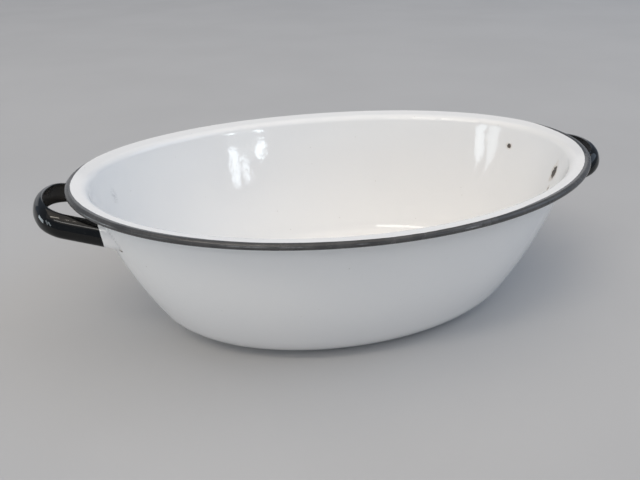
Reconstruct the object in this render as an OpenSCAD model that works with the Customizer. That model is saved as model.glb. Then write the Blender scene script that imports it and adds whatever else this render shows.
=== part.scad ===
// Deep oval basin of enamelled pressed steel with a rolled edge and two welded strap handles.
// The origin is the middle of the base, on the surface that the basin stands on.
// +X runs along the length, +Z is up.

/* [Rim] */
// Overall length over the rolled edge
rim_length = 450; // [400:1:500]
// Overall width over the rolled edge
rim_width = 309; // [280:1:340]
// Height from the base to the top of the rolled edge, at the ends of the basin
rim_height = 142; // [132:0.5:155]
// How far the rim dips at the middle of each side
rim_dip = 3.8; // [0:0.2:5]
// Diameter of the rolled edge
bead_d = 5.4; // [4.8:0.2:6.6]
// Width of the flat brim inside the rolled edge
brim_w = 8.2; // [6:0.2:10]
// Slope of the brim, which falls towards the basin
brim_slope = 12; // [6:1:16]
// Radius of the bend between the brim and the wall, on its upper face
lip_r = 7.5; // [6:0.5:9]

/* [Body] */
// Thickness of the enamelled sheet
sheet_t = 1.2; // [0.9:0.1:1.5]
// Length of the flat part of the base
base_length = 247; // [220:1:270]
// Width of the flat part of the base
base_width = 143; // [120:1:160]
// Radius between the base and the wall, at the ends of the basin
heel_r = 52; // [40:1:58]
// Slope of the wall just below the brim, from the horizontal
wall_angle = 78.5; // [77:0.5:81]

/* [Handles] */
// How far a handle stands out past the rolled edge
grip_reach = 25.5; // [22:0.5:34]
// Drop from the top of the rolled edge to the middle of the strap, at the front of the bow
grip_drop = 14.2; // [12:0.2:18]
// Slope of the bow, which falls towards the wall
grip_slope = 14.5; // [8:0.5:18]
// Height of the strap
strap_h = 18.8; // [15:0.2:20]
// Depth of the strap's C section
strap_depth = 6; // [5:0.5:8]
// Thickness of the strap
strap_t = 1.6; // [1.2:0.1:2]
// Outer corner radius of the strap's C section
strap_r = 5.4; // [4:0.2:5.8]
// Lean of the strap, whose upper edge is nearer to the basin than its lower edge
strap_lean = 18; // [8:1:22]
// Radius of the front of the bow
bow_r = 58; // [48:1:64]
// Radius of the two bends at the front of the bow
bend_r = 26; // [20:1:28]
// Angle that the front of the bow turns through on each side
bow_turn = 25; // [20:1:30]
// Angle between an arm and the length of the basin
arm_spread = 14; // [10:1:24]
// Length of the white end of an arm, along the middle of the arm
end_length = 8; // [6:0.5:12]
// Width of the weld fillet on each face
weld_w = 1.4; // [0.8:0.1:2]

/* [Hidden] */
// Points round the basin and along each curve of its section
ring_steps = 96;
heel_steps = 6;
wall_steps = 6;
lip_steps = 5;
curl_steps = 10;
// The curl starts at the brim, goes over the crest and ends inside, level with the middle of the bead
curl_turn = 270 + brim_slope;
// Points along the bow and round each corner of the strap
bow_steps = 4;
bend_steps = 6;
arm_steps = 4;
corner_steps = 4;

white = [0.93, 0.93, 0.92];
black = [0.12, 0.12, 0.13];

bead_r = bead_d / 2;
bead_a = rim_length / 2 - bead_r;
bead_b = rim_width / 2 - bead_r;
bead_z = rim_height - bead_r;

// The section at the end of the basin is three tangent arcs on its outer face, heel, wall and lip, and a flat
// brim. A point of it is [half length, height], and the wall is the arc through the other two arcs' ends.
brim_out = [sin(brim_slope), -cos(brim_slope)];
brim_in = [-cos(brim_slope), -sin(brim_slope)];
brim_edge = [bead_a, bead_z] - (bead_r - sheet_t) * brim_out;
lip_under_r = lip_r - sheet_t;
lip_centre = brim_edge + brim_w * brim_in + lip_under_r * brim_out;
wall_out = [sin(wall_angle), -cos(wall_angle)];
wall_top = lip_centre - lip_under_r * wall_out;
heel_centre = [base_length / 2, heel_r];
heel_to_top = wall_top - heel_centre;
wall_r = (heel_to_top * heel_to_top - heel_r * heel_r) / (2 * (heel_to_top * wall_out - heel_r));
wall_centre = wall_top - wall_r * wall_out;
heel_out = (heel_centre - wall_centre) / (wall_r - heel_r);
heel_angle = atan2(heel_out[0], -heel_out[1]);

// Each entry is [point on the outer face, unit vector from the sheet outwards]
heel_points = [for (i = [0:heel_steps]) let (a = heel_angle * i / heel_steps)
    [heel_centre + heel_r * [sin(a), -cos(a)], [sin(a), -cos(a)]]];
wall_points = [for (i = [1:wall_steps]) let (a = heel_angle + (wall_angle - heel_angle) * i / wall_steps)
    [wall_centre + wall_r * [sin(a), -cos(a)], [sin(a), -cos(a)]]];
lip_points = [for (i = [1:lip_steps]) let (a = wall_angle + (brim_slope - wall_angle) * i / lip_steps)
    [lip_centre - lip_under_r * [sin(a), -cos(a)], [sin(a), -cos(a)]]];
section = concat(heel_points, wall_points, lip_points, [[brim_edge, brim_out]]);

// The half width that goes with a half length: the lip is even all round, the wall leans more at the ends
rim_difference = bead_a - bead_b;
wall_top_b = wall_top[0] - rim_difference;
side_share = (wall_top_b - base_width / 2) / (wall_top[0] - base_length / 2);
function half_width(a) = a > wall_top[0] ? a - rim_difference : wall_top_b - side_share * (wall_top[0] - a);

// A point at an angle round the basin, for half lengths a and b, lower along the sides by the dip of the rim
function dip(z, side) = rim_dip * side * side * pow(z / rim_height, 2);
function oval_point(a, b, z, t) = [a * cos(t), b * sin(t), z - dip(z, sin(t))];

// One ring of the sheet, a depth inside the outer face of a section entry
function sheet_ring(entry, depth) =
    let (a = entry[0][0], inset = depth * entry[1][0], z = entry[0][1] - depth * entry[1][1])
    [for (i = [0:ring_steps - 1]) oval_point(a - inset, half_width(a) - inset, z, 360 * i / ring_steps)];

// One section of the curl at a place round the rim, outer face then inner face
function curl_ring(t) = concat(
    [for (i = [0:curl_steps]) curl_point(t, bead_r, i / curl_steps)],
    [for (i = [curl_steps:-1:0]) curl_point(t, bead_r - sheet_t, i / curl_steps)]);
function curl_point(t, r, share) =
    let (a = 90 + brim_slope - curl_turn * share, out = r * cos(a))
    oval_point(bead_a + out, bead_b + out, bead_z + r * sin(a), t);

function unit(v) = v / norm(v);
function reversed(list) = [for (i = [len(list) - 1:-1:0]) list[i]];
function mirrored(points) = [for (p = points) [p[0], -p[1], p[2]]];

// The half length of the outer face of the wall at a height
function wall_a(z) = wall_centre[0] + sqrt(wall_r * wall_r - pow(z - wall_centre[1], 2));

// How far a point can travel along a direction before it meets the wall's outer face at that height
function travel(p, along) =
    let (
        side = unit([p[0] / wall_top[0], p[1] / wall_top_b])[1],
        a = wall_a(p[2] + dip(p[2], side)),
        b = half_width(a),
        qa = pow(along[0] / a, 2) + pow(along[1] / b, 2),
        qb = p[0] * along[0] / (a * a) + p[1] * along[1] / (b * b),
        qc = pow(p[0] / a, 2) + pow(p[1] / b, 2) - 1
    ) (-qb - sqrt(qb * qb - qa * qc)) / qa;
// The same along a falling direction, repeated so that the height at the wall is the right one
function reach(p, along, turns = 4, far = 0) =
    turns == 0 ? far : reach(p, along, turns - 1, far + travel(p + far * along, along));

// The bow in plan, from its front along the arm at +Y: [x, y, angle turned]
bow_x = -(rim_length / 2 + grip_reach);
bow_z = rim_height - grip_drop;
arm_turn = 90 - arm_spread;
bow_end = [bow_x + bow_r * (1 - cos(bow_turn)), bow_r * sin(bow_turn)];
function bend_at(a) = bow_end + bend_r * [cos(bow_turn) - cos(a), sin(a) - sin(bow_turn)];
bow_route = concat(
    [for (i = [0:bow_steps]) let (a = bow_turn * i / bow_steps)
        [bow_x + bow_r * (1 - cos(a)), bow_r * sin(a), a]],
    [for (i = [1:bend_steps]) let (a = bow_turn + (arm_turn - bow_turn) * i / bend_steps)
        [bend_at(a)[0], bend_at(a)[1], a]]);

// The strap's section as [inwards, up] pairs, from the lower lip round the outer face to the upper lip
function strap_face(inset) =
    let (r = strap_r - inset, up = strap_h / 2 - strap_r)
    concat(
        [[strap_depth, -up - r]],
        [for (i = [0:corner_steps]) let (a = 90 * i / corner_steps) [strap_r - r * sin(a), -up - r * cos(a)]],
        [for (i = [0:corner_steps]) let (a = 90 * i / corner_steps) [strap_r - r * cos(a), up + r * sin(a)]],
        [[strap_depth, up + r]]);
strap_outer = strap_face(0);
strap_section = concat(strap_outer, reversed(strap_face(strap_t)));

// A section of the strap at a place on the bow
function along_at(turn) = unit([sin(turn), cos(turn), -tan(grip_slope) * sin(turn)]);
function up_at(turn) =
    let (along = along_at(turn), lean = [cos(turn), -sin(turn), 1 / tan(strap_lean)])
    unit(lean - (lean * along) * along);
function strap_ring(place) =
    let (
        along = along_at(place[2]),
        up = up_at(place[2]),
        inwards = cross(along, up),
        middle = [place[0], place[1], bow_z - tan(grip_slope) * (place[0] - bow_x)]
    ) [for (s = strap_section) middle + s[0] * inwards + s[1] * up];

bow_rings = [for (place = bow_route) strap_ring(place)];
arm_along = along_at(arm_turn);
arm_start = bow_rings[len(bow_rings) - 1];
// The arm ends on the wall, and its dark enamel half way between the slope of the wall and square to the arm
arm_reach = [for (p = arm_start) reach(p, arm_along)];
middle_reach = (min(arm_reach) + max(arm_reach)) / 2;
dark_reach = [for (far = arm_reach) (far + middle_reach) / 2 - end_length];
// A section of the arm at a share of the way along a list of lengths
function arm_ring(lengths, share = 1) =
    [for (i = [0:len(arm_start) - 1]) arm_start[i] + share * lengths[i] * arm_along];
half_rings = concat(bow_rings, [for (i = [1:arm_steps]) arm_ring(dark_reach, i / arm_steps)]);

// A fillet's three edges at a point on the outer face of the strap: on the joint, along the arm, on the wall
function fillet_ring(i) =
    let (
        joint = arm_start[i] + arm_reach[i] * arm_along,
        before = arm_start[max(i - 1, 0)],
        after = arm_start[min(i + 1, len(strap_outer) - 1)],
        off = unit(cross(after - before, arm_along)),
        raised = joint + weld_w * off
    ) [joint, joint - weld_w * arm_along, raised + travel(raised, arm_along) * arm_along];

// Solids between rings of points, closed by the given faces at both ends or joined end to end
module loft(rings, cap, joined = false) {
    n = len(rings[0]);
    last = len(rings) - 1;
    sides = [for (k = [0:joined ? last : last - 1], i = [0:n - 1])
        let (here = k * n, next = (k + 1) % len(rings) * n, j = (i + 1) % n)
        each [[here + i, next + i, next + j], [here + i, next + j, here + j]]];
    ends = joined ? [] : concat(cap, [for (f = cap) [for (i = reversed(f)) i + last * n]]);
    polyhedron(points = [for (ring = rings) each ring], faces = concat(sides, ends));
}
// The end of a C section as a strip between its outer and inner faces
function strip_cap(n) = [for (i = [0:n / 2 - 2])
    each [[i, i + 1, n - 1 - i], [i + 1, n - 2 - i, n - 1 - i]]];
strap_cap = strip_cap(len(strap_section));
ring_cap = [[for (i = [0:ring_steps - 1]) i]];

module bowl() {
    color(white)
        loft(concat(
            [for (entry = section) sheet_ring(entry, 0)],
            [for (entry = reversed(section)) sheet_ring(entry, sheet_t)]), ring_cap);
}
module rim_bead() {
    color(black)
        loft([for (i = [0:ring_steps - 1]) curl_ring(360 * i / ring_steps)], [], joined = true);
}
module grip() {
    color(black)
        loft(concat([for (ring = reversed(half_rings)) mirrored(ring)],
            [for (i = [1:len(half_rings) - 1]) half_rings[i]]), strap_cap);
}
module rear_end() {
    color(white)
        loft([arm_ring(dark_reach), arm_ring(arm_reach)], strap_cap);
}
module rear_weld() {
    loft([for (i = [0:len(strap_outer) - 1]) fillet_ring(i)], [[0, 1, 2]]);
}
module welds() {
    color(white) {
        rear_weld();
        mirror([0, 1, 0]) rear_weld();
    }
}

module left_grip() grip();
module left_front_end() mirror([0, 1, 0]) rear_end();
module left_rear_end() rear_end();
module left_welds() welds();
module right_grip() mirror([1, 0, 0]) grip();
module right_front_end() mirror([1, 0, 0]) left_front_end();
module right_rear_end() mirror([1, 0, 0]) rear_end();
module right_welds() mirror([1, 0, 0]) welds();

bowl();
rim_bead();
left_grip();
left_front_end();
left_rear_end();
left_welds();
right_grip();
right_front_end();
right_rear_end();
right_welds();
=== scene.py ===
"""Looks of the oval enamelled basin: the drawn bowl, its rolled edge and its two strap handles.

Lengths are in metres. +X runs along the basin, +Y away from the viewer and +Z up, as in the frame.
"""
import math

import bmesh
import bpy
from mathutils import Matrix, Quaternion, Vector, noise


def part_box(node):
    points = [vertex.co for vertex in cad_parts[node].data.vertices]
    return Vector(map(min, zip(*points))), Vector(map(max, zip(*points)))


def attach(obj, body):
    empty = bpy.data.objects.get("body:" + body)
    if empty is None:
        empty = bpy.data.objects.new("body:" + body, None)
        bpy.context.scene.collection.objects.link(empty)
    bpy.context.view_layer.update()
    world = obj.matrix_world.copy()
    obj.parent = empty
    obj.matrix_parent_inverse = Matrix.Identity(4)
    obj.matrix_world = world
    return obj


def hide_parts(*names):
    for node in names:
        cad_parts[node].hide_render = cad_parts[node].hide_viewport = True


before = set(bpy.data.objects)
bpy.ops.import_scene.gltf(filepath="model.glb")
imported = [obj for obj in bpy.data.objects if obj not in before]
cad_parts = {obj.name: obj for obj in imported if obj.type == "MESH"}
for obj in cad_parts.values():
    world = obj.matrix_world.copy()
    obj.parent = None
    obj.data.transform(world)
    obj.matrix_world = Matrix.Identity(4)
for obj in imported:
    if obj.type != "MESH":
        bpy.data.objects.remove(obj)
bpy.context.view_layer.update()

# Sizes of the rim, whose length, width and height come from the frame
BEAD_R = 0.0027
bead_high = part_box("rim_bead")[1]
RIM_TOP = bead_high.z
BEAD_A = bead_high.x - BEAD_R
BEAD_B = bead_high.y - BEAD_R
BEAD_Z = RIM_TOP - BEAD_R
RIM_DIP = 0.0038
BRIM_W = 0.0082
BRIM_SLOPE = math.radians(12)
CURL_TURN = math.radians(270) + BRIM_SLOPE
LIP_R = 0.0075

# Sizes of the pressed sheet
SHEET_T = 0.0012
BASE_A = 0.1235
BASE_B = 0.0715
HEEL_R = 0.052
WALL_ANGLE = math.radians(78.5)

# Sizes of the strap handles; the crown is the height over which each half of the strap's face rounds off
GRIP_REACH = 0.0255
GRIP_DROP = 0.0142
GRIP_SLOPE = math.radians(14.5)
STRAP_H = 0.0188
STRAP_DEPTH = 0.006
STRAP_T = 0.0016
STRAP_R = 0.0054
STRAP_LEAN = math.radians(18)
STRAP_CROWN = 0.0086
BOW_R = 0.058
BEND_R = 0.026
BOW_TURN = math.radians(25)
ARM_TURN = math.radians(90 - 14)
END_LENGTH = 0.008
WELD_W = 0.0014

# Steps of the smooth meshes
RING_STEPS = 480
HEEL_STEPS = 18
WALL_STEPS = 22
LIP_STEPS = 14
BRIM_STEPS = 10
BASE_STEPS = 8
CURL_STEPS = 40
BOW_STEPS = 14
BEND_STEPS = 16
ARM_STEPS = 10
END_STEPS = 6
CORNER_STEPS = 8
LIP_EDGE_STEPS = 6
WELD_STEPS = 7


def steps(start, end, count):
    """Evenly spaced values from start to end, both included."""
    return [start + (end - start) * i / count for i in range(count + 1)]


def clamp(value):
    """The value, held between 0 and 1."""
    return max(0.0, min(1.0, value))


def smooth(low, high, value):
    """Smooth step from 0 at low to 1 at high."""
    share = clamp((value - low) / (high - low))
    return share * share * (3 - 2 * share)


def section_out(angle):
    """Unit vector out of the sheet, as (along the length, up), where the section has turned by an angle."""
    return Vector((math.sin(angle), -math.cos(angle)))


# Outer face of the section at the basin's end: heel, wall and lip are tangent arcs, and the brim is flat
BRIM_OUT = section_out(BRIM_SLOPE)
BRIM_IN = Vector((BRIM_OUT.y, -BRIM_OUT.x))
BRIM_EDGE = Vector((BEAD_A, BEAD_Z)) - (BEAD_R - SHEET_T) * BRIM_OUT
LIP_UNDER_R = LIP_R - SHEET_T
LIP_CENTRE = BRIM_EDGE + BRIM_W * BRIM_IN + LIP_UNDER_R * BRIM_OUT
WALL_TOP_OUT = section_out(WALL_ANGLE)
WALL_TOP = LIP_CENTRE - LIP_UNDER_R * WALL_TOP_OUT
HEEL_CENTRE = Vector((BASE_A, HEEL_R))
HEEL_TO_TOP = WALL_TOP - HEEL_CENTRE
WALL_R = (HEEL_TO_TOP.length_squared - HEEL_R ** 2) / (2 * (HEEL_TO_TOP.dot(WALL_TOP_OUT) - HEEL_R))
WALL_CENTRE = WALL_TOP - WALL_R * WALL_TOP_OUT
HEEL_OUT = (HEEL_CENTRE - WALL_CENTRE) / (WALL_R - HEEL_R)
HEEL_ANGLE = math.atan2(HEEL_OUT.x, -HEEL_OUT.y)
RIM_DIFFERENCE = BEAD_A - BEAD_B
WALL_TOP_B = WALL_TOP.x - RIM_DIFFERENCE
SIDE_SHARE = (WALL_TOP_B - BASE_B) / (WALL_TOP.x - BASE_A)


def half_width(a):
    """Half width that goes with a half length: the lip is even all round, the wall leans more at the ends."""
    if a > WALL_TOP.x:
        return a - RIM_DIFFERENCE
    return WALL_TOP_B - SIDE_SHARE * (WALL_TOP.x - a)


def oval_point(a, b, z, t):
    """Point at an angle round an oval of half lengths a and b, lower along the sides by the rim's dip."""
    side = math.sin(t)
    return Vector((a * math.cos(t), b * side, z - RIM_DIP * (side * z / RIM_TOP) ** 2))


def section_points():
    """(point, outward vector) pairs of the outer face, from the edge of the base to the edge of the brim."""
    heel = [(HEEL_CENTRE + HEEL_R * section_out(a), section_out(a))
            for a in steps(0, HEEL_ANGLE, HEEL_STEPS)]
    wall = [(WALL_CENTRE + WALL_R * section_out(a), section_out(a))
            for a in steps(HEEL_ANGLE, WALL_ANGLE, WALL_STEPS)]
    lip = [(LIP_CENTRE - LIP_UNDER_R * section_out(a), section_out(a))
           for a in steps(WALL_ANGLE, BRIM_SLOPE, LIP_STEPS)]
    brim = [(BRIM_EDGE + far * BRIM_IN, BRIM_OUT) for far in steps(BRIM_W, 0, BRIM_STEPS)]
    return heel + wall[1:] + lip[1:] + brim[1:]


def mesh_piece(name, points, faces, node, material, sharp=()):
    """A smooth mesh that stands for a CAD node; sharp holds the rings of points whose edges stay crisp."""
    mesh = bpy.data.meshes.new(name)
    mesh.from_pydata([tuple(p) for p in points], [], faces)
    mesh.polygons.foreach_set("use_smooth", [True] * len(mesh.polygons))
    crisp = {p: k for k, ring in enumerate(sharp) for p in ring}
    for edge in mesh.edges:
        first, second = edge.vertices
        edge.use_edge_sharp = first in crisp and crisp[first] == crisp.get(second)
    mesh.update()
    piece = bpy.data.objects.new(name, mesh)
    bpy.context.scene.collection.objects.link(piece)
    mesh.materials.append(material)
    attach(piece, "root")
    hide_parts(node)
    return piece


def loft_faces(count, size, joined=False):
    """Quads between count rings of size points each; joined also closes the last ring to the first."""
    faces = []
    for k in range(count if joined else count - 1):
        here = k * size
        following = (k + 1) % count * size
        for i in range(size):
            j = (i + 1) % size
            faces.append((here + i, here + j, following + j, following + i))
    return faces


def set_attribute(piece, name, values):
    """Stores one number per point on a piece, for its material."""
    attribute = piece.data.attributes.new(name, "FLOAT", "POINT")
    attribute.data.foreach_set("value", values)


class Graph:
    """Short calls to build one material's nodes."""

    def __init__(self, name):
        self.material = bpy.data.materials.new(name)
        self.material.use_nodes = True
        self.tree = self.material.node_tree
        self.tree.nodes.clear()

    def node(self, kind, inputs=(), **settings):
        """A new node; an input is a number, a colour or another node's socket."""
        made = self.tree.nodes.new("ShaderNode" + kind)
        for key, value in settings.items():
            setattr(made, key, value)
        for key, value in dict(inputs).items():
            if isinstance(value, bpy.types.NodeSocket):
                self.tree.links.new(value, made.inputs[key])
            else:
                made.inputs[key].default_value = value
        return made

    def place(self):
        """Place of a point in the piece, in metres."""
        return self.node("TexCoord").outputs["Object"]

    def noise(self, scale, detail=2.0, roughness=0.5):
        """Cloudy value between 0 and 1, with scale in clouds per metre."""
        made = self.node("TexNoise", {"Vector": self.place(), "Scale": scale, "Detail": detail,
                                      "Roughness": roughness})
        return made.outputs["Fac"]

    def attribute(self, name):
        """Number stored on the points of the piece."""
        return self.node("Attribute", attribute_name=name).outputs["Fac"]

    def ramp(self, value, low, high, start=0.0, end=1.0):
        """Smooth step of value from low to high, mapped to start and end."""
        made = self.node("MapRange", {"Value": value, "From Min": low, "From Max": high,
                                      "To Min": start, "To Max": end}, interpolation_type="SMOOTHSTEP")
        return made.outputs["Result"]

    def math(self, operation, first, second):
        """Sum, difference, product or comparison of two values."""
        return self.node("Math", {0: first, 1: second}, operation=operation).outputs[0]

    def mix(self, share, first, second):
        """Colour between the first, at a share of 0, and the second, at 1."""
        made = self.node("Mix", {"Factor": share}, data_type="RGBA")
        for index, value in ((6, first), (7, second)):
            if isinstance(value, bpy.types.NodeSocket):
                self.tree.links.new(value, made.inputs[index])
            else:
                made.inputs[index].default_value = (*value, 1.0)
        return made.outputs[2]

    def bump(self, height, distance, strength=1.0, normal=None):
        """Normal bent by a height, whose full range is a distance in metres."""
        inputs = {"Height": height, "Distance": distance, "Strength": strength}
        if normal is not None:
            inputs["Normal"] = normal
        return self.node("Bump", inputs).outputs["Normal"]

    def finish(self, colour, roughness, normal, specular=0.5):
        """The material, with its shader joined to the output."""
        shader = self.node("BsdfPrincipled", {"Base Color": colour, "Roughness": roughness, "Normal": normal,
                                              "Specular IOR Level": specular})
        output = self.node("OutputMaterial")
        self.tree.links.new(shader.outputs[0], output.inputs["Surface"])
        return self.material


STEEL_DARK = (0.085, 0.078, 0.070)
STEEL_RUST = (0.150, 0.098, 0.066)
RUST_STAIN = (0.66, 0.60, 0.53)
SCUFF_GREY = (0.42, 0.42, 0.43)
PINHOLE_BROWN = (0.35, 0.30, 0.26)
ENAMEL_WHITE = (0.890, 0.884, 0.870)
ENAMEL_DULL = (0.877, 0.873, 0.863)
# Painted shade: grey white for the shaded lower outside of the basin
ENAMEL_PAINTED_SHADE = (0.795, 0.786, 0.776)
BEAD_DEEP = (0.056, 0.056, 0.057)
BEAD_LIGHT = (0.089, 0.087, 0.086)
BEAD_SPECK = (0.22, 0.22, 0.22)
# Painted reflection: light grey for lines of window light along the rolled edge
BEAD_GLINT = (0.300, 0.310, 0.320)
GRIP_DEEP = (0.0044, 0.0046, 0.0046)
GRIP_LIGHT = (0.0072, 0.0074, 0.0070)
# Dust and painted sheen: light brown for the strap's hollow, standing in part for light thrown into it
GRIP_DUST_AND_SHEEN = (0.044, 0.038, 0.033)
GRIP_SPECK = (0.10, 0.095, 0.085)


def bead_glass(g):
    """Grey-black glass of the rolled edge, cloudy where its coat thins."""
    return g.mix(g.ramp(g.noise(60.0, 5.0, 0.6), 0.32, 0.72), BEAD_DEEP, BEAD_LIGHT)


def dark_share(g):
    """How much the dark enamel covers the white at a point, from the stored distance to its edge."""
    ragged = g.math("MULTIPLY", g.math("SUBTRACT", g.noise(150.0, 4.0), 0.5), 0.16)
    return g.ramp(g.math("ADD", g.attribute("dark"), ragged), 0.46, 0.54)


def white_enamel():
    """Glossy white glass over steel: a slow change of tint, fine waves, pinholes, scuffs, bare chips and
    painted shade low on the outside.
    """
    g = Graph("white_enamel")
    tint = g.ramp(g.noise(9.0, 3.0), 0.35, 0.65)
    colour = g.mix(tint, ENAMEL_DULL, ENAMEL_WHITE)
    # Painted shade: the outside white turns greyer towards the base
    colour = g.mix(g.attribute("painted_shade"), colour, ENAMEL_PAINTED_SHADE)
    cells = g.node("TexVoronoi", {"Vector": g.place(), "Scale": 160.0})
    rare = g.math("GREATER_THAN", g.node("SeparateColor", {"Color": cells.outputs["Color"]}).outputs[0], 0.93)
    dot = g.ramp(cells.outputs["Distance"], 0.05, 0.12, 1.0, 0.0)
    pinhole = g.math("MULTIPLY", dot, rare)
    colour = g.mix(g.math("MULTIPLY", pinhole, 0.3), colour, PINHOLE_BROWN)
    scuff = g.math("MULTIPLY", g.attribute("scuff"), g.ramp(g.noise(700.0, 4.0), 0.35, 0.62))
    colour = g.mix(scuff, colour, SCUFF_GREY)
    bare = g.attribute("bare")
    stain = g.math("MULTIPLY", g.ramp(bare, 0.02, 0.45), g.ramp(g.noise(260.0, 4.0), 0.30, 0.75, 0.2, 0.9))
    colour = g.mix(stain, colour, RUST_STAIN)
    edge = g.math("ADD", bare, g.math("MULTIPLY", g.math("SUBTRACT", g.noise(900.0, 3.0), 0.5), 0.35))
    chip = g.ramp(edge, 0.46, 0.56)
    steel = g.mix(g.ramp(g.noise(520.0, 4.0), 0.45, 0.7), STEEL_DARK, STEEL_RUST)
    colour = g.mix(chip, colour, steel)
    colour = g.mix(dark_share(g), colour, bead_glass(g))
    gloss = g.ramp(g.noise(38.0, 4.0), 0.3, 0.75, 0.03, 0.065)
    worn = g.math("ADD", gloss, g.math("MULTIPLY", scuff, 0.3))
    roughness = g.math("ADD", worn, g.math("MULTIPLY", chip, 0.55))
    peel = g.bump(g.noise(210.0, 2.0), 0.00006)
    pits = g.bump(g.math("ADD", pinhole, chip), 0.0002, 0.6, peel)
    return g.finish(colour, roughness, pits)


def bead_enamel():
    """Grey-black glass of the rolled edge, with painted reflection lines along its front, and white where the
    dark coat stops short.
    """
    g = Graph("dark_enamel_bead")
    colour = bead_glass(g)
    speck = g.ramp(g.noise(1100.0, 2.0), 0.66, 0.74)
    colour = g.mix(g.math("MULTIPLY", speck, 0.35), colour, BEAD_SPECK)
    # Painted reflections: light grey lines along the front of the rolled edge
    painted_glint = g.math("MULTIPLY", g.attribute("painted_glint"), g.ramp(g.noise(420.0, 3.0), 0.30, 0.60, 0.35, 1.0))
    colour = g.mix(painted_glint, colour, BEAD_GLINT)
    colour = g.mix(dark_share(g), ENAMEL_WHITE, colour)
    gloss = g.ramp(g.noise(85.0, 4.0), 0.3, 0.75, 0.16, 0.32)
    return g.finish(colour, gloss, g.bump(g.noise(260.0, 2.0), 0.00006), specular=0.3)


def grip_enamel():
    """Black glass of the handles, glossy where hands hold it, and lighter brown in the hollow of the strap:
    dust and a painted sheen.
    """
    g = Graph("dark_enamel_grip")
    cloudy = g.ramp(g.noise(60.0, 5.0, 0.6), 0.32, 0.72)
    colour = g.mix(cloudy, GRIP_DEEP, GRIP_LIGHT)
    # Dust and painted sheen: the faces in the hollow of the strap turn lighter brown
    dust_and_sheen = g.math("MULTIPLY", g.attribute("hollow"), g.ramp(g.noise(140.0, 5.0, 0.6), 0.25, 0.75, 0.45, 1.0))
    colour = g.mix(dust_and_sheen, colour, GRIP_DUST_AND_SHEEN)
    speck = g.ramp(g.noise(1100.0, 2.0), 0.68, 0.76)
    colour = g.mix(g.math("MULTIPLY", speck, 0.3), colour, GRIP_SPECK)
    gloss = g.ramp(g.noise(85.0, 4.0), 0.3, 0.75, 0.03, 0.07)
    roughness = g.math("ADD", gloss, g.math("MULTIPLY", dust_and_sheen, 0.4))
    return g.finish(colour, roughness, g.bump(g.noise(260.0, 2.0), 0.00004), specular=0.32)


WHITE = white_enamel()
BEAD_DARK = bead_enamel()
GRIP_DARK = grip_enamel()


def wall_a(z):
    """Half length of the outer face of the wall at a height."""
    return WALL_CENTRE.x + math.sqrt(WALL_R ** 2 - (z - WALL_CENTRE.y) ** 2)


def wall_point(angle, z):
    """Point of the inner face of the wall at an angle round the basin and a height."""
    a = wall_a(z)
    return oval_point(a - SHEET_T, half_width(a) - SHEET_T, z, angle)


# Short ways round and up the wall that give a mark its directions
MARK_TURN = 0.01
MARK_RISE = 0.001
# The mesh is finer out to this many half sizes of a mark, and this much further
MARK_REACH = 1.9
MARK_MARGIN = 0.0006
MARK_SPLITS = 3
# (depth, waves per metre) of the ragged outline of a mark
MARK_RAGGED = [(0.22, 420), (0.12, 1300)]


class Mark:
    """A chip or scuff on the inner face of the wall.

    Its place is in degrees round the basin and in height. It has half sizes, a strength and a sideways lean.
    """

    def __init__(self, degrees, z, half_wide, half_high, strength, lean=0.0):
        angle = math.radians(degrees)
        self.centre = wall_point(angle, z)
        self.along = (wall_point(angle + MARK_TURN, z) - self.centre).normalized()
        self.up = (wall_point(angle, z + MARK_RISE) - self.centre).normalized()
        self.half_wide = half_wide
        self.half_high = half_high
        self.strength = strength
        self.lean = lean
        self.reach = MARK_REACH * max(half_wide, half_high) + MARK_MARGIN

    def share(self, p):
        """1 at the middle, 0.5 at the ragged outline and 0 well outside it."""
        away = p - self.centre
        high = away.dot(self.up)
        u = (away.dot(self.along) - self.lean * high) / self.half_wide
        v = high / self.half_high
        ragged = sum(depth * noise.noise(p * waves) for depth, waves in MARK_RAGGED)
        return clamp(1.0 - 0.5 * (math.hypot(u, v) + ragged)) * self.strength


CHIPS = [
    Mark(19.05, 0.1183, 0.0023, 0.0021, 1.0),
    Mark(-10.8, 0.1143, 0.0036, 0.0064, 1.0, -0.02),
    Mark(-12.0, 0.0996, 0.0014, 0.0026, 0.72),
]
SCUFFS = [
    Mark(163.2, 0.1122, 0.0026, 0.0043, 0.5),
]
# Depth of a chip, and the shares of its mark where the enamel starts to break away and is gone
CHIP_DEPTH = 0.00035
CHIP_EDGE = 0.42
CHIP_FLOOR = 0.58
# Painted shade: the white is made greyer low on the outside, below this height
PAINTED_SHADE_TOP = 0.080
# Unevenness of the drawn sheet, with (share, waves per metre) of its waves
PRESS_WAVE = 0.00007
PRESS_WAVES = [(1.0, 17), (0.45, 43)]
# It grows over this height above the base, and fades over another to none at this depth below the rim
PRESS_RISE = 0.03
PRESS_FADE = 0.02
PRESS_END = 0.012
# A shallow inward swell of the far wall, left by the press
SWELL = 0.0010
SWELL_ANGLE = math.radians(112)
SWELL_WIDE = math.radians(30)
SWELL_Z = 0.040
SWELL_HIGH = 0.055


def press_wave(p):
    """Small unevenness of the drawn sheet, none at its base and at its brim."""
    fade = min(1.0, p.z / PRESS_RISE) * clamp((RIM_TOP - p.z - PRESS_END) / PRESS_FADE)
    angle = math.atan2(p.y / BEAD_B, p.x / BEAD_A)
    swell = math.exp(-((angle - SWELL_ANGLE) / SWELL_WIDE) ** 2 - ((p.z - SWELL_Z) / SWELL_HIGH) ** 2)
    wave = sum(share * noise.noise(p * waves) for share, waves in PRESS_WAVES)
    return fade * (PRESS_WAVE * wave + SWELL * swell)


# Wear of the base: its strength, its height, and how far out on the base it starts and is full
BASE_WEAR = 0.4
WEAR_HIGH = 0.0009
WEAR_START = 0.80
WEAR_FULL = 0.96


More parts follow.
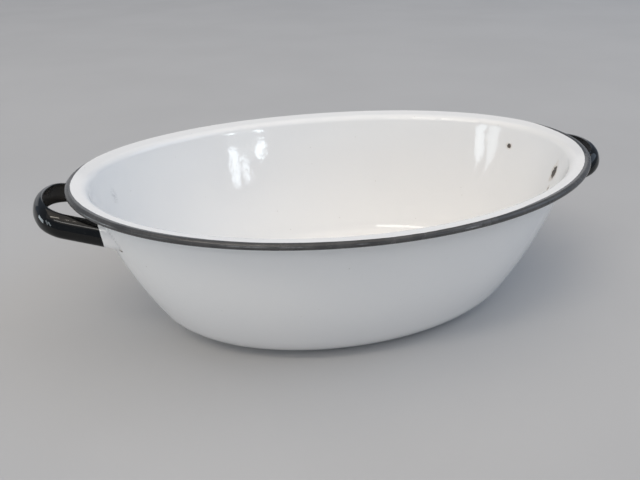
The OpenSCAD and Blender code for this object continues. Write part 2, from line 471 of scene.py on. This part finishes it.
def base_wear(p):
    """How much the enamel is rubbed where the basin stands: a ring along the edge of the base."""
    out = math.hypot(p.x / BASE_A, p.y / BASE_B)
    return BASE_WEAR * smooth(WEAR_START, WEAR_FULL, out) * smooth(WEAR_HIGH, 0.0, p.z)


# (degrees round the basin, reach of the dark enamel over the crest of the rolled edge towards the inside)
DARK_EDGE = [(0, 0.0025), (3, 0.0022), (26, -0.0014), (150, -0.0014), (178, 0.0017), (205, 0.0032),
             (225, 0.0024), (250, 0.0007), (270, -0.0004), (288, 0.0004), (302, 0.0027), (330, 0.0028),
             (360, 0.0025)]
# Length over which the stored distance to that edge goes from 0 to 1
DARK_SPAN = 0.004


def dark_value(inside, t):
    """Stored distance to the edge of the dark enamel, 0.5 at the edge, for a length inside the crest."""
    degrees = math.degrees(t) % 360
    for (low, first), (high, second) in zip(DARK_EDGE, DARK_EDGE[1:]):
        if low <= degrees <= high:
            reach = first + (second - first) * smooth(low, high, degrees)
    return clamp(0.5 + (reach - inside) / DARK_SPAN)


ANGLES = steps(0, 2 * math.pi, RING_STEPS)[:-1]
# Share of the base's half sizes that the one flat face in its middle takes
BASE_MIDDLE = 0.02


def bowl_rings():
    """Rings of points of the outer and the inner face, each from the middle of the base to the brim."""
    section = section_points()
    outer = []
    inner = []
    for share in steps(BASE_MIDDLE, 1, BASE_STEPS)[:-1]:
        outer.append([oval_point(share * BASE_A, share * BASE_B, 0.0, t) for t in ANGLES])
        inner.append([oval_point(share * BASE_A, share * BASE_B, SHEET_T, t) for t in ANGLES])
    for point, out in section:
        a = point.x
        b = half_width(a)
        inset = SHEET_T * out.x
        outer.append([oval_point(a, b, point.y, t) for t in ANGLES])
        inner.append([oval_point(a - inset, b - inset, point.y - SHEET_T * out.y, t) for t in ANGLES])
    return outer, inner


def near_mark(edge, marks):
    """Whether the middle of an edge lies on a mark or close to it."""
    middle = (edge.verts[0].co + edge.verts[1].co) / 2
    return any((middle - mark.centre).length < mark.reach for mark in marks)


def refine(mesh, marks):
    """Splits the faces of the inner side near the marks, so that their outlines show in the mesh."""
    for _ in range(MARK_SPLITS):
        bm = bmesh.new()
        bm.from_mesh(mesh)
        inner = bm.verts.layers.float["inner"]
        near = [e for e in bm.edges if e.verts[0][inner] and e.verts[1][inner] and near_mark(e, marks)]
        bmesh.ops.subdivide_edges(bm, edges=near, cuts=1, use_grid_fill=True)
        bm.to_mesh(mesh)
        bm.free()


def wear_bowl(piece):
    """Stores the wear of the enamel, and the painted shade low on the outside, on the basin's points, and
    moves them for the chips and the unevenness.
    """
    mesh = piece.data
    normals = [v.normal.copy() for v in mesh.vertices]
    sides = [item.value for item in mesh.attributes["inner"].data]
    bare = []
    scuffed = []
    painted_shade = []
    for v, n, side in zip(mesh.vertices, normals, sides):
        p = v.co.copy()
        chip = max(m.share(p) for m in CHIPS) if side else 0.0
        bare.append(chip)
        scuffed.append(max(m.share(p) for m in SCUFFS) if side else base_wear(p))
        # Painted shade: share that darkens the outside white from a height down to the base
        painted_shade.append(0.0 if side else smooth(PAINTED_SHADE_TOP, 0.0, p.z))
        wave = press_wave(p) if side else -press_wave(p)
        v.co = p + n * (wave - CHIP_DEPTH * clamp((chip - CHIP_EDGE) / (CHIP_FLOOR - CHIP_EDGE)))
    set_attribute(piece, "bare", bare)
    set_attribute(piece, "scuff", scuffed)
    set_attribute(piece, "painted_shade", painted_shade)


def make_bowl():
    """The drawn basin: flat base, curved wall and brim, closed where the edge is rolled."""
    outer, inner = bowl_rings()
    rings = outer + inner[::-1]
    points = [p for ring in rings for p in ring]
    faces = loft_faces(len(rings), RING_STEPS)
    last = (len(rings) - 1) * RING_STEPS
    faces.append(tuple(reversed(range(RING_STEPS))))
    faces.append(tuple(range(last, last + RING_STEPS)))
    crest = (len(outer) - 1) * RING_STEPS
    sharp = [range(crest, crest + RING_STEPS), range(crest + RING_STEPS, crest + 2 * RING_STEPS)]
    piece = mesh_piece("bowl_shell", points, faces, "bowl", WHITE, sharp)
    mesh = piece.data
    set_attribute(piece, "inner", [0.0] * (len(outer) * RING_STEPS) + [1.0] * (len(inner) * RING_STEPS))
    dark = [0.0] * len(points)
    first = len(outer) * RING_STEPS
    for k, far in enumerate(steps(0, BRIM_W, BRIM_STEPS)):
        start = first + k * RING_STEPS
        dark[start:start + RING_STEPS] = [dark_value(far + BEAD_R * BRIM_SLOPE, t) for t in ANGLES]
    set_attribute(piece, "dark", dark)
    refine(mesh, CHIPS + SCUFFS)
    wear_bowl(piece)
    mesh.polygons.foreach_set("use_smooth", [True] * len(mesh.polygons))
    mesh.update()


# Painted reflections: thin light lines along the front of the rolled edge: (degrees round the basin, half
# length, strength)
GLINT_LINES = [(282.7, 1.5, 0.95), (243.0, 4.0, 0.60), (251.0, 2.5, 0.45), (262.5, 0.8, 0.50),
                (212.5, 2.4, 0.60)]
GLINT_ROLL = math.radians(74)
GLINT_HALF = math.radians(8)
# Unevenness of the curl, its waves per metre, and the turn over which it grows from none at the brim
CURL_UNEVEN = 0.00012
CURL_WAVES = 30
CURL_CALM = 0.5


def painted_glint_value(roll, t):
    """How strong the painted reflection lines are at a point of the curl."""
    across = math.exp(-((roll - GLINT_ROLL) / GLINT_HALF) ** 2)
    along = max(strength * math.exp(-((math.degrees(t) - middle) / half) ** 4)
                for middle, half, strength in GLINT_LINES)
    return across * along


def make_bead():
    """The rolled edge: an open curl that starts at the edge of the brim and turns out, down and under."""
    points = []
    dark = []
    painted_glint = []
    rolls = steps(-BRIM_SLOPE, CURL_TURN - BRIM_SLOPE, CURL_STEPS)
    for t in ANGLES:
        centre = oval_point(BEAD_A, BEAD_B, BEAD_Z, t)
        uneven = CURL_UNEVEN * (noise.noise(centre * CURL_WAVES) - 1) / 2
        for r, turns in ((BEAD_R, rolls), (BEAD_R - SHEET_T, rolls[::-1])):
            for roll in turns:
                size = r + uneven * min(1.0, (roll + BRIM_SLOPE) / CURL_CALM)
                out = size * math.sin(roll)
                points.append(oval_point(BEAD_A + out, BEAD_B + out, BEAD_Z + size * math.cos(roll), t))
                dark.append(dark_value(-BEAD_R * roll, t) if r == BEAD_R else 1.0)
                # Painted reflection lines, stored on the outer face of the curl
                painted_glint.append(painted_glint_value(roll, t) if r == BEAD_R else 0.0)
    size = 2 * (CURL_STEPS + 1)
    faces = loft_faces(RING_STEPS, size, joined=True)
    sharp = [[k * size + i for k in range(RING_STEPS)] for i in (0, CURL_STEPS, CURL_STEPS + 1, size - 1)]
    piece = mesh_piece("rim_bead_curl", points, faces, "rim_bead", BEAD_DARK, sharp)
    set_attribute(piece, "dark", dark)
    set_attribute(piece, "painted_glint", painted_glint)


# Rounds of the search for the point where a line meets the wall
TRAVEL_ROUNDS = 5


def travel(p, along):
    """How far a point goes along a direction before it meets the outer face of the wall."""
    far = 0.0
    for _ in range(TRAVEL_ROUNDS):
        q = p + far * along
        side = Vector((q.x / WALL_TOP.x, q.y / WALL_TOP_B)).normalized().y
        a = wall_a(q.z + RIM_DIP * (side * q.z / RIM_TOP) ** 2)
        b = half_width(a)
        qa = (along.x / a) ** 2 + (along.y / b) ** 2
        qb = q.x * along.x / a ** 2 + q.y * along.y / b ** 2
        qc = (q.x / a) ** 2 + (q.y / b) ** 2 - 1
        far += (-qb - math.sqrt(qb * qb - qa * qc)) / qa
    return far


BOW_X = -(BEAD_A + BEAD_R + GRIP_REACH)
BOW_Z = RIM_TOP - GRIP_DROP
BOW_END = Vector((BOW_X + BOW_R * (1 - math.cos(BOW_TURN)), BOW_R * math.sin(BOW_TURN)))


def bow_route():
    """(x, y, angle turned) from the middle of the left handle's bow to the start of its rear arm."""
    bow = [(BOW_X + BOW_R * (1 - math.cos(a)), BOW_R * math.sin(a), a) for a in steps(0, BOW_TURN, BOW_STEPS)]
    bend = [(BOW_END.x + BEND_R * (math.cos(BOW_TURN) - math.cos(a)),
             BOW_END.y + BEND_R * (math.sin(a) - math.sin(BOW_TURN)), a)
            for a in steps(BOW_TURN, ARM_TURN, BEND_STEPS)]
    return bow + bend[1:]


def strap_section():
    """C section of the strap as (inwards, up) pairs.

    They go round the outer face, the upper lip, the inner face and the lower lip.
    """
    up = STRAP_H / 2 - STRAP_CROWN
    tip = STRAP_T / 2
    quarter = steps(0, math.pi / 2, CORNER_STEPS)
    half = steps(0, math.pi, LIP_EDGE_STEPS)[1:-1]
    deep = STRAP_R - STRAP_T
    high = STRAP_CROWN - STRAP_T
    outer_low = [(STRAP_R - STRAP_R * math.sin(a), -up - STRAP_CROWN * math.cos(a)) for a in quarter]
    outer_high = [(STRAP_R - STRAP_R * math.cos(a), up + STRAP_CROWN * math.sin(a)) for a in quarter]
    inner_high = [(STRAP_R - deep * math.sin(a), up + high * math.cos(a)) for a in quarter]
    inner_low = [(STRAP_R - deep * math.cos(a), -up - high * math.sin(a)) for a in quarter]
    reach = STRAP_DEPTH - tip
    middle = STRAP_H / 2 - tip
    round_high = [(reach + tip * math.sin(a), middle + tip * math.cos(a)) for a in half]
    round_low = [(reach + tip * math.sin(a), -middle + tip * math.cos(a)) for a in half]
    lip_high = [(reach, STRAP_H / 2), *round_high, (reach, middle - tip)]
    lip_low = [(reach, tip - middle), *round_low, (reach, -STRAP_H / 2)]
    return outer_low + outer_high + lip_high + inner_high + inner_low + lip_low


def arm_direction(turn):
    """Unit vector along the strap where the bow has turned by an angle."""
    return Vector((math.sin(turn), math.cos(turn), -math.tan(GRIP_SLOPE) * math.sin(turn))).normalized()


def strap_axes(turn):
    """(inwards, up) of the strap's section where the bow has turned by an angle."""
    along = arm_direction(turn)
    lean = Vector((math.cos(turn), -math.sin(turn), 1 / math.tan(STRAP_LEAN)))
    up = (lean - lean.dot(along) * along).normalized()
    return along.cross(up), up


def strap_ring(x, y, turn, section):
    """Points of the strap's section at a place of the bow."""
    inwards, up = strap_axes(turn)
    middle = Vector((x, y, BOW_Z - math.tan(GRIP_SLOPE) * (x - BOW_X)))
    return [middle + s * inwards + h * up for s, h in section]


SECTION = strap_section()
# Points on the outer or the inner face of the section, points on a lip, and the first point of the inner face
FACE_POINTS = 2 * (CORNER_STEPS + 1)
LIP_POINTS = LIP_EDGE_STEPS + 1
INNER_START = FACE_POINTS + LIP_POINTS
# 1 for the points of the section that face into its hollow, 0 for the others
HOLLOW = [1.0 if INNER_START <= i < INNER_START + FACE_POINTS else 0.0 for i in range(len(SECTION))]
ARM_ALONG = arm_direction(ARM_TURN)
BOW_RINGS = [strap_ring(x, y, turn, SECTION) for x, y, turn in bow_route()]
ARM_START = BOW_RINGS[-1]
ARM_REACH = [travel(p, ARM_ALONG) for p in ARM_START]
MIDDLE_REACH = (min(ARM_REACH) + max(ARM_REACH)) / 2
DARK_REACH = [(far + MIDDLE_REACH) / 2 - END_LENGTH for far in ARM_REACH]


def arm_ring(lengths):
    """Section of the arm at a length along it for each point."""
    return [p + far * ARM_ALONG for p, far in zip(ARM_START, lengths)]


def turned(points, flip_x, flip_y):
    """The points of the left rear quarter moved to another quarter by mirroring."""
    return [Vector((-p.x if flip_x else p.x, -p.y if flip_y else p.y, p.z)) for p in points]


def end_cap():
    """Quads across the C section, between its outer and inner faces, and one face at each lip."""
    outer = list(range(FACE_POINTS))
    inner = list(reversed(range(INNER_START, INNER_START + FACE_POINTS)))
    strip = [(outer[i], outer[i + 1], inner[i + 1], inner[i]) for i in range(FACE_POINTS - 1)]
    high = [outer[-1], *range(FACE_POINTS, INNER_START), inner[-1]]
    low = [inner[0], *range(INNER_START + FACE_POINTS, len(SECTION)), outer[0]]
    return strip + [tuple(high), tuple(low)]


def strap_piece(name, rings, node, material, flip):
    """A length of strap between rings, with flat ends; flip says that mirroring has turned its faces over."""
    size = len(SECTION)
    points = [p for ring in rings for p in ring]
    last = (len(rings) - 1) * size
    faces = loft_faces(len(rings), size)
    cap = end_cap()
    faces += [tuple(reversed(f)) for f in cap] + [tuple(last + i for i in f) for f in cap]
    if flip:
        faces = [tuple(reversed(f)) for f in faces]
    sharp = [range(size), range(last, last + size)]
    return mesh_piece(name, points, faces, node, material, sharp)


def make_grip(side):
    """The dark bow and arms of one handle."""
    half = BOW_RINGS + [arm_ring([s * far for far in DARK_REACH]) for s in steps(0, 1, ARM_STEPS)[1:]]
    rings = [turned(ring, False, True) for ring in half[:0:-1]] + half
    right = side == "right"
    rings = [turned(ring, right, False) for ring in rings]
    piece = strap_piece(f"{side}_grip_strap", rings, f"{side}_grip", GRIP_DARK, right)
    set_attribute(piece, "hollow", HOLLOW * len(rings))


def make_end(side, place):
    """The white end of one arm, from the dark enamel to the wall."""
    rings = [arm_ring([dark + s * (far - dark) for dark, far in zip(DARK_REACH, ARM_REACH)])
             for s in steps(0, 1, END_STEPS)]
    right = side == "right"
    front = place == "front"
    rings = [turned(ring, right, front) for ring in rings]
    strap_piece(f"{side}_{place}_end_strap", rings, f"{side}_{place}_end", WHITE,
                right != front)


# Ripples of a weld, as a share of its width and by their length, and the pull of its face towards the joint
WELD_RIPPLE = 0.16
WELD_RIPPLE_LENGTH = 0.0022
WELD_HOLLOW = 0.55
# The enamel is grey and thinned on a weld, and rusty near its lower end, from one height down to another
WELD_SCUFF = 0.40
WELD_RUST = 0.8
WELD_RUST_TOP = 0.0045
WELD_RUST_FULL = 0.001


def weld_rings():
    """Sections of the fillet round the outer face of an arm's end, rippled as a weld is."""
    path = [len(SECTION) - 1, *range(FACE_POINTS + 1)]
    joints = [ARM_START[i] + ARM_REACH[i] * ARM_ALONG for i in path]
    rings = []
    run = 0.0
    for k, joint in enumerate(joints):
        before = joints[max(k - 1, 0)]
        after = joints[min(k + 1, len(joints) - 1)]
        run += (joint - before).length
        off = (after - before).cross(ARM_ALONG).normalized()
        width = WELD_W * (1 + WELD_RIPPLE * math.sin(2 * math.pi * run / WELD_RIPPLE_LENGTH))
        on_strap = joint - width * ARM_ALONG
        raised = joint + width * off
        on_wall = raised + travel(raised, ARM_ALONG) * ARM_ALONG
        bend = joint * WELD_HOLLOW + (on_strap + on_wall) * (1 - WELD_HOLLOW) / 2
        curve = [(1 - s) ** 2 * on_strap + 2 * s * (1 - s) * bend + s ** 2 * on_wall
                 for s in steps(0, 1, WELD_STEPS)]
        rings.append([joint] + curve)
    return rings


def make_welds(side):
    """The two rippled fillets of one handle."""
    right = side == "right"
    points = []
    faces = []
    rings = weld_rings()
    size = len(rings[0])
    sharp = []
    for front in (False, True):
        first = len(points)
        points += [p for ring in rings for p in turned(ring, right, front)]
        made = loft_faces(len(rings), size)
        last = (len(rings) - 1) * size
        made += [tuple(reversed(range(size))), tuple(range(last, last + size))]
        if right == front:
            made = [tuple(reversed(f)) for f in made]
        faces += [tuple(first + i for i in f) for f in made]
        for corner in (0, 1, size - 1):
            sharp.append([first + k * size + corner for k in range(len(rings))])
    piece = mesh_piece(f"{side}_welds_fillet", points, faces, f"{side}_welds", WHITE, sharp)
    set_attribute(piece, "scuff", [WELD_SCUFF] * len(points))
    low = min(p.z for p in points)
    rust = [WELD_RUST * smooth(low + WELD_RUST_TOP, low + WELD_RUST_FULL, p.z) for p in points]
    set_attribute(piece, "bare", rust)


make_bowl()
make_bead()
for side in ("left", "right"):
    make_grip(side)
    make_welds(side)
    for place in ("front", "rear"):
        make_end(side, place)

# Camera at the photograph's viewing angle, for an image of 640 by 480
IMAGE_W = 640
FOCAL_PIXELS = 596.8
SENSOR_MM = 36.0
CAMERA_PLACE = Vector((-0.13883, -0.47433, 0.31394))
CAMERA_PITCH = math.radians(27.226)
CAMERA_YAW = math.radians(14.235)
CAMERA_ROLL = math.radians(-0.877)
CAMERA_NEAR = 0.01


def make_camera():
    """The camera, turned by its yaw, pitch and roll from a level view along +Y."""
    data = bpy.data.cameras.new("camera")
    data.sensor_width = SENSOR_MM
    data.lens = FOCAL_PIXELS / IMAGE_W * SENSOR_MM
    data.clip_start = CAMERA_NEAR
    camera = bpy.data.objects.new("camera", data)
    bpy.context.scene.collection.objects.link(camera)
    turn = (Matrix.Rotation(-CAMERA_YAW, 4, "Z") @ Matrix.Rotation(math.pi / 2 - CAMERA_PITCH, 4, "X")
            @ Matrix.Rotation(CAMERA_ROLL, 4, "Z"))
    camera.matrix_world = Matrix.Translation(CAMERA_PLACE) @ turn
    bpy.context.scene.camera = camera


def direction(azimuth, elevation):
    """Unit vector towards a lamp; azimuth 0 is towards the viewer at -Y and 90 towards +X."""
    a = math.radians(azimuth)
    e = math.radians(elevation)
    return Vector((math.sin(a) * math.cos(e), -math.cos(a) * math.cos(e), math.sin(e)))


# Place in the basin that the lamps face, and their distance from it
LAMP_TARGET = Vector((0, 0, 0.08))
LAMP_FAR = 8.0


def panel(name, azimuth, elevation, wide_deg, high_deg, radiance, colour, seen_from=LAMP_TARGET, tilt_deg=0,
          far=LAMP_FAR):
    """A rectangular lamp seen from a place at an angle, with a size in degrees and an even brightness."""
    data = bpy.data.lights.new(name, "AREA")
    data.shape = "RECTANGLE"
    data.size = 2 * far * math.tan(math.radians(wide_deg) / 2)
    data.size_y = 2 * far * math.tan(math.radians(high_deg) / 2)
    data.energy = radiance * math.pi * data.size * data.size_y
    data.color = colour
    lamp = bpy.data.objects.new(name, data)
    bpy.context.scene.collection.objects.link(lamp)
    towards = direction(azimuth, elevation)
    lamp.location = seen_from + far * towards
    lamp.rotation_mode = "QUATERNION"
    lamp.rotation_quaternion = towards.to_track_quat("Z", "Y") @ Quaternion((0, 0, 1), math.radians(tilt_deg))
    lamp.visible_camera = False


PANE = (0.84, 0.94, 1.0)
SUN = (1.0, 0.90, 0.78)
WARM = (1.0, 0.875, 0.72)
SKY = (0.64, 0.79, 1.0)
SKYLIGHT = (1.0, 0.92, 0.81)
HAZE = (0.66, 0.79, 1.0)
HAZE_STRENGTH = 0.31
LAMP_WHITE = (1.0, 0.97, 0.92)
# Places on the inside of the basin that mirror a window, another window and a strip of light
FAR_MIRROR = Vector((-0.068, 0.122, 0.102))
RIGHT_MIRROR = Vector((0.175, 0.062, 0.099))
HEEL_MIRROR = Vector((0.096, 0.083, 0.0214))
# Place on the left handle that mirrors the skylight and the left window
GRIP_MIRROR = Vector((-0.2413, -0.0298, 0.1265))
# The left window stands close by, where the basin's own wall hides it from the inside
LEFT_WINDOW_FAR = 0.6


def make_lights():
    """Soft panels and an even sky, with the windows that the glossy enamel mirrors."""
    # Name, azimuth, elevation, width and height in degrees, radiance, colour, place that mirrors it, tilt
    panel("key", -50, 52, 50, 50, 0.40, SUN)
    panel("skylight", -48, 56.0, 30, 5.5, 10.2, SKYLIGHT, GRIP_MIRROR, 41)
    panel("top", -20, 80, 70, 70, 0.87, WARM)
    panel("fill", 72, 36, 40, 40, 1.36, SKY)
    panel("back", 180, 13, 90, 24, 0.5, LAMP_WHITE)
    panel("window_right_pane", 26.9, 6.3, 2.3, 3.9, 9.5, PANE, FAR_MIRROR, -50)
    panel("window_middle_bar", 32.8, 9.4, 2.4, 4.4, 7.2, PANE, FAR_MIRROR)
    panel("window_left_pane", 36.4, 8.5, 3.0, 6.5, 8.2, PANE, FAR_MIRROR, -16)
    panel("window_haze", 31.0, 5.2, 13, 5.5, 0.9, PANE, FAR_MIRROR)
    panel("left_window", -101, 0.8, 24, 8.0, 6.4, PANE, GRIP_MIRROR, far=LEFT_WINDOW_FAR)
    panel("side_window_pane", -64.2, 7.4, 5.0, 10.8, 5.6, PANE, RIGHT_MIRROR, 45)
    panel("side_window_far_pane", -74.0, 6.8, 7.0, 10.8, 3.8, PANE, RIGHT_MIRROR, 45)
    panel("strip", -30, 37.0, 28, 5.5, 6.0, LAMP_WHITE, HEEL_MIRROR)
    world = bpy.data.worlds.new("studio")
    bpy.context.scene.world = world
    world.use_nodes = True
    background = world.node_tree.nodes["Background"]
    background.inputs["Color"].default_value = (*HAZE, 1.0)
    background.inputs["Strength"].default_value = HAZE_STRENGTH


FLOOR_DROP = 0.0004
FLOOR_HALF = 14.0
FLOOR_DEEP = (0.482, 0.481, 0.482)
FLOOR_LIGHT = (0.502, 0.501, 0.502)
FLOOR_ROUGHNESS = 0.85


def make_floor():
    """A plain pale floor, just under the basin."""
    g = Graph("pale_floor")
    tone = g.mix(g.ramp(g.noise(3.0, 3.0), 0.3, 0.7), FLOOR_DEEP, FLOOR_LIGHT)
    material = g.finish(tone, FLOOR_ROUGHNESS, g.bump(g.noise(240.0, 3.0), 0.0002, 0.3), specular=0.2)
    mesh = bpy.data.meshes.new("floor")
    corners = [(-1, -1), (1, -1), (1, 1), (-1, 1)]
    mesh.from_pydata([(FLOOR_HALF * x, FLOOR_HALF * y, -FLOOR_DROP) for x, y in corners], [], [(0, 1, 2, 3)])
    floor = bpy.data.objects.new("floor", mesh)
    mesh.materials.append(material)
    bpy.context.scene.collection.objects.link(floor)


make_camera()
make_lights()
make_floor()
bpy.context.scene.view_settings.view_transform = "Standard"
